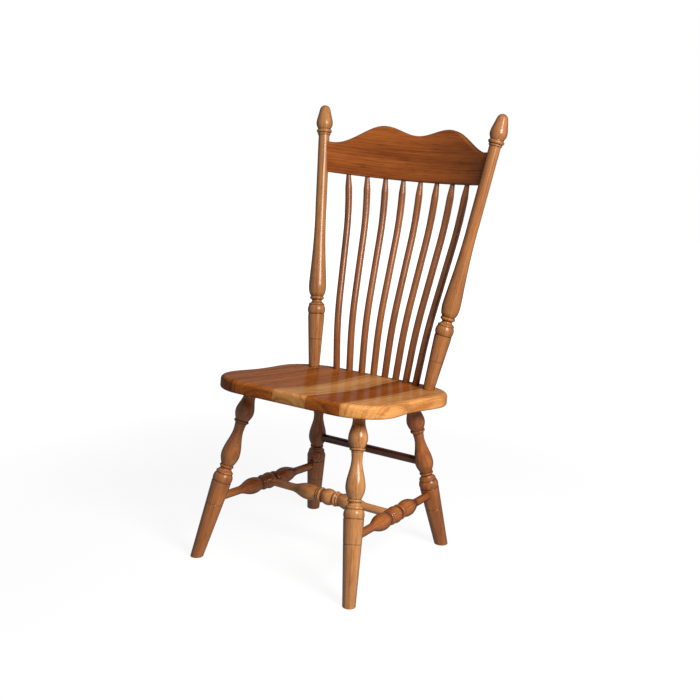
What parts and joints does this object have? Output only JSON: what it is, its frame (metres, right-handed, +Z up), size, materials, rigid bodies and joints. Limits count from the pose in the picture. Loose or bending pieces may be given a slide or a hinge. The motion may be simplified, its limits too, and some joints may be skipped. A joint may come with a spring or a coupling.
{
  "type": "spindle-back side chair",
  "caption": "Turned hardwood dining side chair: shaped solid seat, splayed legs with stretchers, raked posts, bent spindles and a two-humped crest rail.",
  "frame": {"origin": "on the floor, under the middle of the chair's bounding box", "axes": "+Z up, -Y to the front of the seat, +X to the right of someone who faces the chair's front"},
  "size_m": [0.5702, 0.6244, 1.1179],
  "materials": {
    "front_leg_wood": "satin lacquer",
    "back_leg_wood": "satin lacquer",
    "side_stretcher_wood": "satin lacquer",
    "cross_stretcher_wood": "satin lacquer",
    "rear_stretcher_wood": "satin lacquer",
    "post_wood": "satin lacquer",
    "crest_wood": "satin lacquer",
    "spindle_wood": "satin lacquer",
    "seat_brown_wood": "satin lacquer",
    "seat_mid_wood": "satin lacquer",
    "seat_light_wood": "satin lacquer",
    "pin_wood": "satin lacquer",
    "screw_steel": "zinc plated"
  },
  "bodies": {
    "root": {"back_post_left": "post_wood", "back_post_right": "post_wood", "crest_rail": "crest_wood", "crest_rail_pins": "pin_wood", "cross_stretcher": "cross_stretcher_wood", "leg_back_left": "back_leg_wood", "leg_back_right": "back_leg_wood", "leg_front_left": "front_leg_wood", "leg_front_right": "front_leg_wood", "post_screws": "screw_steel", "rear_stretcher": "rear_stretcher_wood", "seat_board_1": "seat_brown_wood", "seat_board_2": "seat_brown_wood", "seat_board_3": "seat_light_wood", "seat_board_4": "seat_mid_wood", "seat_board_5": "seat_light_wood", "side_stretcher_left": "side_stretcher_wood", "side_stretcher_right": "side_stretcher_wood", "spindle_1": "spindle_wood", "spindle_2": "spindle_wood", "spindle_3": "spindle_wood", "spindle_4": "spindle_wood", "spindle_5": "spindle_wood", "spindle_6": "spindle_wood", "spindle_7": "spindle_wood", "spindle_8": "spindle_wood"}
  },
  "joints": []
}
